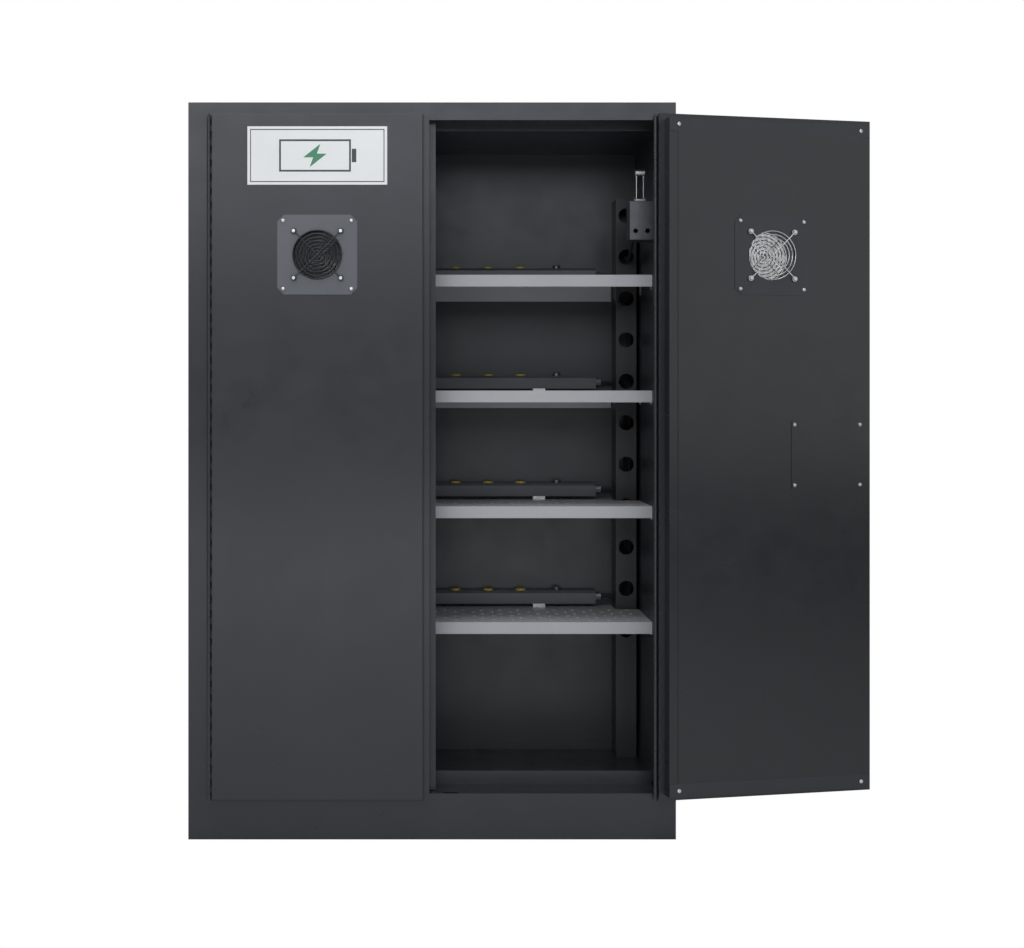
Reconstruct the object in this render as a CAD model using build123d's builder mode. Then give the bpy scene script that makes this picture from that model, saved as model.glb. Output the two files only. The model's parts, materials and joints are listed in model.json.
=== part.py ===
from build123d import *
import os
from math import cos, radians, sin

# A two-door steel cabinet for charging batteries. Millimetres, Z up, X to the right.
# The origin is the middle of the base at floor level, and the doors face -Y.

# Cabinet body
width = 1092.0
height = 1651.0
depth = 457.0
sheet = 1.5
wall = 38.0
column_width = 42.0
column_return = 60.0
header_height = 40.0
sill_height = 103.0
header_ledge = 81.0
header_drop = 10.5
sill_ledge = 88.0
sill_lip = 31.0
sump_floor = 111.0
back_flange = 30.0

# Shelves, from the top one down
shelf_count = 4
shelf_drop = 327.5
shelf_pitch = 266.7
shelf_front = 100.0
shelf_lip = 27.0
shelf_rear_lip = 40.0
shelf_side_gap = 1.0
hole_size = 14.0
hole_side_count = 4
hole_pitch = 132.0
hole_column_count = 7
hole_row_count = 4
hole_row_pitch = 64.0
hole_row_start = 38.0
raceway_clearance = 3.0
clip_height = 30.0
clip_width = 18.0
clip_front = 28.0
clip_spacing = 190.0
slot_pitch = 133.35
slot_count = 9
slot_height = 20.0
slot_width = 6.0

# Raceway in the back right corner
raceway_width = 50.0
raceway_depth = 85.0
raceway_gap = 7.0
raceway_drop = 121.5
raceway_hole = 38.0
raceway_hole_pitch = 101.6
raceway_hole_count = 11
raceway_first_rise = 310.9

# Power strips, one at the rear of each shelf
strip_length = 812.0
strip_reach = 45.0
strip_height = 32.0
strip_depth = 40.0
strip_chamfer = 6.0
strip_lift = 8.0
strip_back_gap = 4.0
outlet_count = 8
outlet_pitch = 81.0
outlet_inset = 186.0
outlet_diameter = 26.0
outlet_proud = 4.0
button_inset = 96.0
button_diameter = 20.0
button_height = 9.0
button_travel = 3.0
running_gap = 0.4
button_well = 12.0
button_gap = 0.8
button_round = 4.0
outlet_side_count = 8
gland_diameter = 16.0
gland_length = 14.0
lead_diameter = 8.0
lead_spacing = 9.0
lead_bend = 16.0
lead_hole_gap = 1.0
lead_gland_gap = 0.1
foot_inset = 141.0
foot_width = 30.0

# Doors
door_proud = 16.0
door_overlay = 11.5
hinge_gap = 12.0
meeting_left = -20.0
meeting_reveal = 3.5
seat_gap = 3.0
astragal_clearance = 1.0
pan_rim = 25.0
box_depth = 26.0
box_side_gap = 12.0
box_end_gap = 2.0
left_box_free = -8.0
right_box_free = 0.0
astragal_flange = 16.0
pan_corner = 2.0
panel_hinge_inset = 20.0
panel_free_inset = 16.0
band_height = 30.0
right_door_open = 192.0

# Piano hinges
pin_height = 14.0
pin_diameter = 3.5
knuckle_radius = 4.5
knuckle_side_count = 8
knuckle_period_count = 6
knuckle_gap = 0.5
pin_clearance = 0.25
leaf_width = 24.0
leaf_offset = 1.5

# Flats that stand for round forms where many of them repeat
round_side_count = 12
boss_side_count = 24
cord_side_count = 6
vent_side_count = 32
nut_side_count = 6

# Vents in the doors
vent_drop = 303.0
vent_diameter = 112.0
vent_plate = 178.0
vent_corner = 14.7
plate_bolts = 152.0
guard_bolts = 104.8
guard_rings = 3
guard_ring_step = 18.0
guard_wire = 2.5
guard_stand = 3.0
eyelet_radius = 6.0
bolt_across = 9.0
band_screw_inset = 22.0
bolt_height = 3.5
screw_across = 9.0

# Three-point latch in the right door
latch_x = 50.0
latch_height = 861.0
cam_radius = 14.0
cam_thick = 3.0
pin_circle = 10.0
cam_pin_radius = 2.0
handle_turn = 90.0
yoke_thick = 3.0
yoke_gap = 0.5
yoke_clearance = 0.5
yoke_width = 13.0
yoke_end = 6.0
yoke_reach = 26.0
rod_diameter = 9.5
rod_proud = 0.5
bolt_rise = 18.0
bolt_bar = 12.0
guide_width = 18.0
guide_thick = 12.0
bolt_guide_thick = 3.0
guide_inset = 60.0
guide_back = 8.0
guide_clearance = 0.4
strike_length = 35.0
strike_width = 12.0
strike_slack = 2.0
dish_radius = 45.0
dish_floor_radius = 37.0
dish_depth = 9.0
dish_rim = 8.0
grip_length = 68.0
grip_width = 16.0
grip_height = 14.0
grip_round = 2.5
handle_lift = 0.4
boss_radius = 15.0
shaft_radius = 6.0
lock_radius = 8.0
lock_depth = 9.0
lock_proud = 2.0
key_slot = 1.5
key_slot_length = 8.0
cover_width = 175.0
cover_height = 152.0
cover_outer = 16.5
cover_lap = 15.0
cover_screw_inset = 8.0

# Door switch and its lever on the right wall
switch_width = 54.0
switch_depth = 60.0
switch_drop = 159.5
switch_height = 88.0
switch_front = 90.0
lever_rise = 78.0
lever_rod = 3.0
lever_spread = 16.0
roller_radius = 8.0
lever_hub_radius = 5.0
lever_hub_gap = 1.0
lever_hub_length = 22.0
switch_hole = 12.0
switch_hole_rise = 20.0
switch_screw_inset = 8.0
cable_diameter = 8.0
cable_bend = 60.0
cable_sag = 12.0
cable_tail = 12.0

# Places that follow from the sizes above
front = -depth / 2
back = depth / 2
half = width / 2
opening_half = half - column_width
opening_top = height - header_height
inner_half = half - wall
inner_back = back - wall
ceiling = opening_top - header_drop
shelf_top = ceiling - shelf_drop
raceway_top = ceiling - raceway_drop
raceway_first_hole = sump_floor + raceway_first_rise
vent_height = opening_top - vent_drop
switch_top = ceiling - switch_drop
switch_bottom = switch_top - switch_height
lever_top = switch_top + lever_rise
door_bottom = sill_height - door_overlay
door_top = opening_top + door_overlay
box_bottom = sill_height + box_end_gap
box_top = opening_top - box_end_gap
pin_x = opening_half - hinge_gap / 2
pin_y = front - pin_height
pan_hinge_x = opening_half - hinge_gap
meeting_right = meeting_left + meeting_reveal
pan_front = front - door_proud
left_pan_rear = front - seat_gap
right_pan_rear = left_pan_rear - astragal_clearance
box_rear = front + box_depth
panel_rear = box_rear + sheet
box_hinge_x = pan_hinge_x - box_side_gap
raceway_right = inner_half - raceway_gap
raceway_left = raceway_right - raceway_width
raceway_front = inner_back - raceway_depth
strip_rear = inner_back - strip_back_gap
strip_front = strip_rear - strip_depth
strip_middle = (strip_front + strip_rear) / 2
strip_end = raceway_left - strip_reach
strip_start = strip_end - strip_length
button_x = strip_end - button_inset
foot_places = [strip_start + foot_inset, strip_end - foot_inset]
shelf_levels = [shelf_top - shelf_pitch * i for i in range(shelf_count)]
shelf_y = front + shelf_front
shelf_half = inner_half - shelf_side_gap

# The right door is drawn shut and hangs turned by its opening angle about its pin
turn = radians(right_door_open)
hung_x = Vector(cos(turn), sin(turn), 0)
hung_y = Vector(-sin(turn), cos(turn), 0)
right_pin = Vector(pin_x, pin_y, 0)
hung_origin = right_pin - hung_x * pin_x - hung_y * pin_y
left_hung = Plane.XY
right_hung = Plane(origin=hung_origin, x_dir=hung_x, z_dir=(0, 0, 1))

cam_front = front
bolt_y = cam_front + cam_thick + yoke_gap
yoke_y = bolt_y + yoke_thick + yoke_gap
rod_y = yoke_y + yoke_thick / 2
knuckle_relief = knuckle_radius / cos(radians(180 / knuckle_side_count)) + knuckle_gap
pin_start = pin_circle * sin(radians(handle_turn / 2))
rod_offset = (pin_circle + pin_circle * cos(radians(handle_turn / 2))) / 2
cover_x = right_box_free + cover_outer + cover_width / 2
dish_front = pan_front - sheet
dish_floor = dish_front + dish_depth
handle_seat = dish_floor - handle_lift
box_middle = (box_bottom + box_top) / 2
box_height = box_top - box_bottom
door_middle = (door_bottom + door_top) / 2
door_height = door_top - door_bottom
clip_places = [shelf_y + clip_front, shelf_y + clip_front + clip_spacing]
slot_levels = [shelf_top - clip_height / 2 - slot_pitch * (i - 2) for i in range(slot_count)]
hole_start = -hole_pitch * (hole_column_count - 1) / 2
hole_places = [
    (
        hole_start + hole_pitch * column + (row % 2 - 0.5) * hole_pitch / 2,
        shelf_y + hole_row_start + hole_row_pitch * row,
    )
    for row in range(hole_row_count)
    for column in range(hole_column_count)
]
raceway_middle = (raceway_left + raceway_right) / 2
switch_right = inner_half
switch_left = inner_half - switch_width
switch_x = (switch_left + switch_right) / 2
switch_y = front + switch_front + switch_depth / 2
lever_z = switch_top + lever_hub_radius + lever_hub_gap
lug_x = lever_hub_length / 2 + running_gap
raceway_hole_levels = [raceway_first_hole + raceway_hole_pitch * i for i in range(raceway_hole_count)]
outlet_places = [strip_end - outlet_inset - outlet_pitch * i for i in range(outlet_count)]


def upright(hung, y):
    """The plane that faces the front at depth y of a door, with Z up in it."""
    return Plane(origin=hung.origin + hung.y_dir * y, x_dir=hung.x_dir, z_dir=-hung.y_dir)


def level(hung, z):
    """The plane at height z of a door, seen from above."""
    return hung.offset(z)


def sideways(hung, x):
    """The plane that faces along X at place x of a door, with Z up in it."""
    return Plane(origin=hung.origin + hung.x_dir * x, x_dir=hung.y_dir, z_dir=hung.x_dir)


os.makedirs("parts", exist_ok=True)

# Outer shell: base, two folded sides, top cap and back
with BuildPart() as base_panel:
    with BuildSketch(Plane.XY):
        Rectangle(width, depth)
    extrude(amount=sheet)
base_panel.part.label = "base_panel"
export_step(base_panel.part, "parts/base_panel.step")

for side, name in ((-1, "side_panel_left"), (1, "side_panel_right")):
    with BuildPart() as side_panel:
        with BuildSketch(level(Plane.XY, sheet)):
            with BuildLine():
                Polyline(
                    (side * opening_half, front + column_return),
                    (side * opening_half, front),
                    (side * half, front),
                    (side * half, back),
                    (side * (half - back_flange), back),
                )
                offset(amount=sheet, side=Side.LEFT if side > 0 else Side.RIGHT, kind=Kind.INTERSECTION)
            make_face()
        extrude(amount=opening_top - sheet)
    side_panel.part.label = name
    export_step(side_panel.part, f"parts/{name}.step")

with BuildPart() as top_panel:
    with BuildSketch(level(Plane.XY, opening_top)):
        Rectangle(width, depth)
    extrude(amount=header_height)
    fillet(top_panel.faces().sort_by(Axis.Z)[-1].edges().filter_by(Axis.X), radius=pan_corner)
    offset(amount=-sheet, openings=top_panel.faces().sort_by(Axis.Z)[0])
top_panel.part.label = "top_panel"
export_step(top_panel.part, "parts/top_panel.step")

with BuildPart() as back_panel:
    with BuildSketch(level(Plane.XY, sheet)):
        with Locations((0, back - 1.5 * sheet)):
            Rectangle(width - 2 * sheet, sheet)
    extrude(amount=height - 2 * sheet - pan_corner)
back_panel.part.label = "back_panel"
export_step(back_panel.part, "parts/back_panel.step")

# Door frame: the header above the opening and the sill below it, each slotted for a latch rod
with BuildPart() as door_header:
    with BuildSketch(Plane.YZ):
        with BuildLine():
            Polyline(
                (front + sheet, opening_top + sheet),
                (front + header_ledge, opening_top + sheet),
                (front + header_ledge, ceiling),
            )
            offset(amount=sheet, side=Side.RIGHT, kind=Kind.INTERSECTION)
        make_face()
    extrude(amount=half - sheet, both=True)
    with BuildSketch(level(Plane.XY, opening_top)):
        with Locations((latch_x + rod_offset, rod_y)):
            SlotOverall(strike_length, strike_width)
    extrude(amount=sheet, mode=Mode.SUBTRACT)
door_header.part.label = "door_header"
export_step(door_header.part, "parts/door_header.step")

with BuildPart() as door_sill:
    with BuildSketch(Plane.YZ):
        with BuildLine():
            Polyline(
                (front, sheet),
                (front, sill_height),
                (front + sill_ledge - sheet, sill_height),
                (front + sill_ledge - sheet, sill_height + sill_lip),
            )
            offset(amount=sheet, side=Side.RIGHT, kind=Kind.INTERSECTION)
        make_face()
    extrude(amount=opening_half, both=True)
    with BuildSketch(level(Plane.XY, sill_height - sheet)):
        with Locations((latch_x - rod_offset, rod_y)):
            SlotOverall(strike_length, strike_width)
    extrude(amount=sheet, mode=Mode.SUBTRACT)
door_sill.part.label = "door_sill"
export_step(door_sill.part, "parts/door_sill.step")

# Inner walls: side liners slotted for the shelf clips, back liner, ceiling and sump tray
for side, name in ((-1, "liner_left"), (1, "liner_right")):
    with BuildPart() as side_liner:
        with BuildSketch(level(Plane.XY, sheet)):
            with BuildLine():
                Polyline(
                    (side * opening_half, front + column_return + sheet),
                    (side * inner_half, front + column_return + sheet),
                    (side * inner_half, inner_back + sheet),
                )
                offset(amount=sheet, side=Side.RIGHT if side > 0 else Side.LEFT, kind=Kind.INTERSECTION)
            make_face()
        extrude(amount=ceiling - sheet)
        with BuildSketch(Plane.YZ.offset(side * inner_half)):
            for clip_y in clip_places:
                with Locations(*[(clip_y, z) for z in slot_levels]):
                    Rectangle(slot_width, slot_height)
        extrude(amount=side * sheet, mode=Mode.SUBTRACT)
    side_liner.part.label = name
    export_step(side_liner.part, f"parts/{name}.step")

with BuildPart() as liner_back:
    with BuildSketch(level(Plane.XY, sheet)):
        with Locations((0, inner_back + sheet / 2)):
            Rectangle(2 * inner_half, sheet)
    extrude(amount=ceiling - sheet)
liner_back.part.label = "liner_back"
export_step(liner_back.part, "parts/liner_back.step")

with BuildPart() as ceiling_panel:
    with BuildSketch(level(Plane.XY, ceiling)):
        with Locations((0, (front + header_ledge + inner_back + sheet) / 2)):
            Rectangle(2 * (inner_half + sheet), inner_back + sheet - front - header_ledge)
    extrude(amount=sheet)
ceiling_panel.part.label = "ceiling_panel"
export_step(ceiling_panel.part, "parts/ceiling_panel.step")

with BuildPart() as sump_tray:
    with BuildSketch(level(Plane.XY, sump_floor - sheet)):
        with Locations((0, (front + sill_ledge + inner_back) / 2)):
            Rectangle(2 * inner_half, inner_back - front - sill_ledge)
    extrude(amount=sill_height + sill_lip - sump_floor + sheet)
    offset(amount=-sheet, openings=sump_tray.faces().sort_by(Axis.Z)[-1])
    with BuildSketch(level(Plane.XY, sump_floor)):
        with Locations((raceway_middle, (raceway_front + inner_back) / 2)):
            Rectangle(raceway_width, raceway_depth)
    extrude(amount=sill_height + sill_lip - sump_floor, mode=Mode.SUBTRACT)
sump_tray.part.label = "sump_tray"
export_step(sump_tray.part, "parts/sump_tray.step")

# Shelves: sheet folded down at the front and back, perforated, and cut away round the raceway
for number, shelf_z in enumerate(shelf_levels, start=1):
    with BuildPart() as shelf:
        with BuildSketch(Plane.YZ):
            with BuildLine():
                Polyline(
                    (shelf_y, shelf_z - shelf_lip),
                    (shelf_y, shelf_z),
                    (inner_back, shelf_z),
                    (inner_back, shelf_z - shelf_rear_lip),
                )
                offset(amount=sheet, side=Side.RIGHT, kind=Kind.INTERSECTION)
            make_face()
        extrude(amount=shelf_half, both=True)
        with BuildSketch(level(Plane.XY, shelf_z)):
            with Locations(*hole_places):
                RegularPolygon(hole_size / 2, hole_side_count)
            with Locations(((raceway_left + inner_half) / 2, (raceway_front + inner_back) / 2)):
                Rectangle(
                    inner_half - raceway_left + 2 * raceway_clearance,
                    raceway_depth + 2 * raceway_clearance,
                )
        extrude(amount=-shelf_rear_lip, mode=Mode.SUBTRACT)
    shelf.part.label = f"shelf_{number}"
    export_step(shelf.part, f"parts/shelf_{number}.step")

with BuildPart() as shelf_clips:
    for shelf_z in shelf_levels:
        for side in (-1, 1):
            for clip_y in clip_places:
                with BuildSketch(upright(Plane.XY, clip_y - clip_width / 2)):
                    with BuildLine():
                        Polyline(
                            (side * inner_half, shelf_z - sheet - clip_height),
                            (side * inner_half, shelf_z - sheet),
                            (side * (inner_half - clip_width), shelf_z - sheet),
                        )
                        offset(
                            amount=sheet,
                            side=Side.LEFT if side > 0 else Side.RIGHT,
                            kind=Kind.INTERSECTION,
                        )
                    make_face()
                extrude(amount=-clip_width)
shelf_clips.part.label = "shelf_clips"
export_step(shelf_clips.part, "parts/shelf_clips.step")

# Raceway: a folded channel with a column of wire holes, a cap, and a hole for each strip's lead
with BuildPart() as raceway:
    with BuildSketch(level(Plane.XY, sump_floor)):
        with BuildLine():
            Polyline(
                (raceway_left, inner_back),
                (raceway_left, raceway_front),
                (raceway_right, raceway_front),
                (raceway_right, inner_back),
            )
            offset(amount=sheet, side=Side.LEFT, kind=Kind.INTERSECTION)
        make_face()
    extrude(amount=raceway_top - sump_floor)
    with BuildSketch(level(Plane.XY, raceway_top - sheet)):
        with Locations((raceway_middle, (raceway_front + inner_back) / 2)):
            Rectangle(raceway_width, raceway_depth)
    extrude(amount=sheet)
    with BuildSketch(upright(Plane.XY, raceway_front)):
        with Locations(*[(raceway_middle, z) for z in raceway_hole_levels]):
            RegularPolygon(raceway_hole / 2, round_side_count)
    extrude(amount=-sheet, mode=Mode.SUBTRACT)
    with BuildSketch(Plane.YZ.offset(raceway_left)):
        with Locations(*[(strip_middle, z + strip_lift + strip_height / 2) for z in shelf_levels]):
            RegularPolygon(lead_diameter / 2 + lead_hole_gap, cord_side_count)
    extrude(amount=sheet, mode=Mode.SUBTRACT)
raceway.part.label = "raceway"
export_step(raceway.part, "parts/raceway.step")

# Power strips: a bevelled housing on feet, with outlets, a reset button and a lead to the raceway
for number, shelf_z in enumerate(shelf_levels, start=1):
    strip_top = shelf_z + strip_lift + strip_height
    with BuildPart() as power_strip:
        with BuildSketch(Plane.YZ.offset(strip_start)):
            with Locations((strip_middle, strip_top - strip_height / 2)):
                outline = Rectangle(strip_depth, strip_height)
            chamfer(outline.vertices().group_by(Axis.Y)[-1], length=strip_chamfer)
        extrude(amount=strip_length)
        with BuildSketch(level(Plane.XY, strip_top)):
            with Locations((button_x, strip_middle)):
                RegularPolygon(button_diameter / 2 + button_gap, round_side_count)
        extrude(amount=-button_well, mode=Mode.SUBTRACT)
    power_strip.part.label = f"power_strip_{number}"
    export_step(power_strip.part, f"parts/power_strip_{number}.step")

    with BuildPart() as breaker_button:
        with BuildSketch(level(Plane.XY, strip_top - button_well + button_travel + running_gap)):
            with Locations((button_x, strip_middle)):
                RegularPolygon(button_diameter / 2, round_side_count)
        extrude(amount=button_well - button_travel - running_gap + button_height)
        chamfer(breaker_button.edges().group_by(Axis.Z)[-1], length=button_round)
    breaker_button.part.label = f"breaker_button_{number}"
    export_step(breaker_button.part, f"parts/breaker_button_{number}.step")

with BuildPart() as strip_outlets:
    for shelf_z in shelf_levels:
        with BuildSketch(level(Plane.XY, shelf_z + strip_lift + strip_height)):
            with Locations(*[(x, strip_middle) for x in outlet_places]):
                RegularPolygon(outlet_diameter / 2, outlet_side_count)
        extrude(amount=outlet_proud)
strip_outlets.part.label = "strip_outlets"
export_step(strip_outlets.part, "parts/strip_outlets.step")

with BuildPart() as strip_fittings:
    for shelf_z in shelf_levels:
        with BuildSketch(level(Plane.XY, shelf_z)):
            with Locations(*[(x, strip_middle) for x in foot_places]):
                Rectangle(foot_width, strip_depth)
        extrude(amount=strip_lift)
        with BuildSketch(Plane.YZ.offset(strip_end)):
            with Locations((strip_middle, shelf_z + strip_lift + strip_height / 2)):
                RegularPolygon(gland_diameter / 2, nut_side_count)
                RegularPolygon(lead_diameter / 2 + lead_gland_gap, cord_side_count, mode=Mode.SUBTRACT)
        extrude(amount=gland_length)
strip_fittings.part.label = "strip_fittings"
export_step(strip_fittings.part, "parts/strip_fittings.step")

with BuildPart() as strip_leads:
    for number, shelf_z in enumerate(shelf_levels):
        lead_z = shelf_z + strip_lift + strip_height / 2
        drop_x = raceway_right - sheet - lead_diameter - number * lead_spacing
        with BuildLine() as route:
            FilletPolyline(
                (strip_end, strip_middle, lead_z),
                (drop_x, strip_middle, lead_z),
                (drop_x, strip_middle, sump_floor),
                radius=lead_bend,
            )
        with BuildSketch(Plane.YZ.offset(strip_end)):
            with Locations((strip_middle, lead_z)):
                RegularPolygon(lead_diameter / 2, cord_side_count)
        sweep(path=route.line)
strip_leads.part.label = "strip_leads"
export_step(strip_leads.part, "parts/strip_leads.step")

# Door switch: a box on the right wall, its cover, a sprung lever with a roller, and its cable
with BuildPart() as interlock_box:
    with BuildSketch(level(Plane.XY, switch_bottom)):
        with Locations((switch_x, switch_y)):
            Rectangle(switch_width, switch_depth)
    extrude(amount=switch_top - switch_bottom)
    offset(amount=-sheet, openings=interlock_box.faces().sort_by(Axis.Y)[0])
    for lug_side in (-1, 1):
        with BuildSketch(Plane.YZ.offset(switch_x + lug_side * lug_x)):
            with Locations((switch_y, (switch_top + lever_z + lever_hub_radius) / 2)):
                Rectangle(2 * lever_hub_radius, lever_z + lever_hub_radius - switch_top)
        extrude(amount=lug_side * 2 * sheet)
    with BuildSketch(Plane.YZ.offset(switch_x)):
        with Locations((switch_y, lever_z)):
            Circle(lever_rod / 2)
    extrude(amount=lug_x, both=True)
interlock_box.part.label = "interlock_box"
export_step(interlock_box.part, "parts/interlock_box.step")

with BuildPart() as interlock_cover:
    with BuildSketch(upright(Plane.XY, front + switch_front)):
        with Locations((switch_x, (switch_bottom + switch_top) / 2)):
            Rectangle(switch_width, switch_top - switch_bottom)
        with Locations((switch_x, switch_bottom + switch_hole_rise)):
            with GridLocations(switch_width / 2, 1, 2, 1):
                RegularPolygon(switch_hole / 2, cord_side_count, mode=Mode.SUBTRACT)
    extrude(amount=sheet)
    with BuildSketch(upright(Plane.XY, front + switch_front - sheet)):
        with Locations((switch_x, (switch_bottom + switch_top) / 2)):
            with GridLocations(1, switch_height - 2 * switch_screw_inset, 1, 2):
                RegularPolygon(screw_across / 2, nut_side_count)
    extrude(amount=bolt_height / 2)
interlock_cover.part.label = "interlock_cover"
export_step(interlock_cover.part, "parts/interlock_cover.step")

with BuildPart() as interlock_lever:
    with BuildSketch(Plane.YZ.offset(switch_x)):
        with Locations((switch_y, lever_z)):
            Circle(lever_hub_radius)
            Circle(lever_rod / 2 + running_gap / 2, mode=Mode.SUBTRACT)
    extrude(amount=lever_hub_length / 2, both=True)
    with BuildSketch(level(Plane.XY, lever_z + lever_hub_radius / 2)):
        with GridLocations(lever_spread, 1, 2, 1):
            with Locations((switch_x, switch_y)):
                RegularPolygon(lever_rod / 2, cord_side_count)
    extrude(amount=lever_top - roller_radius - lever_z - lever_hub_radius / 2)
    with BuildSketch(Plane.YZ.offset(switch_x)):
        with Locations((switch_y, lever_top - roller_radius)):
            Circle(roller_radius)
    extrude(amount=lever_spread / 2 + lever_rod, both=True)
interlock_lever.part.label = "interlock_lever"
export_step(interlock_lever.part, "parts/interlock_lever.step")

with BuildPart() as interlock_cable:
    cable_y = switch_y + switch_depth / 2
    cable_z = switch_bottom + switch_hole_rise
    cable_run = raceway_front - cable_y
    with BuildLine() as cable_route:
        FilletPolyline(
            (raceway_middle, cable_y, cable_z),
            (raceway_middle, cable_y + cable_run * 0.25, cable_z),
            (raceway_middle, cable_y + cable_run * 0.7, raceway_hole_levels[-2] - cable_sag),
            (raceway_middle, raceway_front + cable_tail, raceway_hole_levels[-2]),
            radius=cable_bend,
        )
    with BuildSketch(Plane(origin=cable_route.line @ 0, z_dir=cable_route.line % 0)):
        RegularPolygon(cable_diameter / 2, cord_side_count)
    sweep(path=cable_route.line)
interlock_cable.part.label = "interlock_cable"
export_step(interlock_cable.part, "parts/interlock_cable.step")

# Doors: each is a folded pan, an inner box behind it, an inner panel between end channels,
# vented through both faces, and hung on a full-height piano hinge
doors = [
    ("left", left_hung, -1, meeting_left, left_pan_rear, left_box_free),
    ("right", right_hung, 1, meeting_right, right_pan_rear, right_box_free),
]
for side, hung, hand, pan_free, pan_rear, box_free in doors:
    pan_hinge = hand * pan_hinge_x
    box_hinge = hand * box_hinge_x
    pan_x = (pan_hinge + pan_free) / 2
    pan_width = abs(pan_hinge - pan_free)
    box_x = (box_hinge + box_free) / 2
    box_width = abs(box_hinge - box_free)
    panel_hinge = box_hinge - hand * panel_hinge_inset
    panel_free = box_free + hand * panel_free_inset
    vent_signs = [(i, j) for i in (-1, 1) for j in (-1, 1)]
    corners = [(pan_x + i * plate_bolts / 2, vent_height + j * plate_bolts / 2) for i, j in vent_signs]
    eyelets = [(pan_x + i * guard_bolts / 2, vent_height + j * guard_bolts / 2) for i, j in vent_signs]

    with BuildPart() as door_pan:
        with BuildSketch(upright(hung, pan_rear)):
            with Locations((pan_x, door_middle)):
                Rectangle(pan_width, door_height)
        extrude(amount=pan_rear - pan_front)
        fillet(door_pan.faces().sort_by(Axis(hung.origin, hung.y_dir))[0].edges(), radius=pan_corner)
        with BuildSketch(upright(hung, pan_rear - sheet)):
            with Locations((pan_x, door_middle)):
                Rectangle(pan_width - 2 * sheet, door_height - 2 * sheet)
        extrude(amount=pan_rear - pan_front - 2 * sheet, mode=Mode.SUBTRACT)
        with BuildSketch(upright(hung, pan_rear)):
            with Locations((pan_x, door_middle)):
                Rectangle(pan_width - 2 * pan_rim, door_height - 2 * pan_rim)
        extrude(amount=sheet, mode=Mode.SUBTRACT)
        with BuildSketch(upright(hung, pan_front)):
            with Locations((pan_x, vent_height)):
                RegularPolygon(vent_diameter / 2, vent_side_count)
            if hand > 0:
                with Locations((latch_x, latch_height)):
                    Circle(dish_radius)
        extrude(amount=-sheet, mode=Mode.SUBTRACT)
    door_pan.part.label = f"{side}_door_pan"
    export_step(door_pan.part, f"parts/{side}_door_pan.step")

    with BuildPart() as door_box:
        with BuildSketch(upright(hung, box_rear)):
            with Locations((box_x, box_middle)):
                Rectangle(box_width, box_height)
        extrude(amount=box_rear - pan_rear)
        with BuildSketch(upright(hung, box_rear - sheet)):
            with Locations((box_x, box_middle)):
                Rectangle(box_width - 2 * sheet, box_height - 2 * sheet)
        extrude(amount=box_rear - sheet - pan_rear, mode=Mode.SUBTRACT)
        with BuildSketch(upright(hung, box_rear)):
            with Locations((pan_x, vent_height)):
                RegularPolygon(vent_diameter / 2, vent_side_count)
            if hand > 0:
                with Locations((cover_x, latch_height)):
                    Rectangle(cover_width - 2 * cover_lap, cover_height - 2 * cover_lap)
        extrude(amount=sheet, mode=Mode.SUBTRACT)
        if hand < 0:
            with BuildSketch(upright(hung, pan_rear + sheet)):
                with Locations((pan_free - pan_rim / 2, box_middle)):
                    Rectangle(4 * pan_rim, door_height)
            extrude(amount=sheet, mode=Mode.SUBTRACT)
            with BuildSketch(upright(hung, bolt_y + yoke_thick + strike_slack)):
                with Locations((box_free, latch_height + bolt_rise)):
                    Rectangle(4 * sheet, bolt_bar + 2 * strike_slack)
            extrude(amount=yoke_thick + 2 * strike_slack, mode=Mode.SUBTRACT)
        if hand > 0:
            with BuildSketch(level(hung, box_top - sheet)):
                with Locations((latch_x + rod_offset, rod_y)):
                    RegularPolygon(rod_diameter / 2 + guide_clearance, round_side_count)
            extrude(amount=sheet, mode=Mode.SUBTRACT)
            with BuildSketch(level(hung, box_bottom)):
                with Locations((latch_x - rod_offset, rod_y)):
                    RegularPolygon(rod_diameter / 2 + guide_clearance, round_side_count)
            extrude(amount=sheet, mode=Mode.SUBTRACT)
            with BuildSketch(upright(hung, bolt_y + yoke_thick + guide_clearance)):
                with Locations((box_free, latch_height + bolt_rise)):
                    Rectangle(4 * sheet, bolt_bar + 2 * guide_clearance)
            extrude(amount=yoke_thick + 2 * guide_clearance, mode=Mode.SUBTRACT)
    door_box.part.label = f"{side}_door_box"
    export_step(door_box.part, f"parts/{side}_door_box.step")

    with BuildPart() as inner_panel:
        with BuildSketch(upright(hung, panel_rear)):
            with Locations(((panel_hinge + panel_free) / 2, box_middle)):
                Rectangle(abs(panel_hinge - panel_free), box_height - 2 * band_height)
            with Locations((pan_x, vent_height)):
                RegularPolygon(vent_diameter / 2, vent_side_count, mode=Mode.SUBTRACT)
            if hand > 0:
                with Locations((cover_x, latch_height)):
                    Rectangle(cover_width - 2 * cover_lap, cover_height - 2 * cover_lap, mode=Mode.SUBTRACT)
        extrude(amount=sheet)
    inner_panel.part.label = f"{side}_door_inner_panel"
    export_step(inner_panel.part, f"parts/{side}_door_inner_panel.step")

    with BuildPart() as end_channels:
        with BuildSketch(upright(hung, panel_rear)):
            with Locations((box_x, box_top - band_height / 2), (box_x, box_bottom + band_height / 2)):
                Rectangle(box_width, band_height)
        extrude(amount=sheet)
    end_channels.part.label = f"{side}_door_channels"
    export_step(end_channels.part, f"parts/{side}_door_channels.step")

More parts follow.
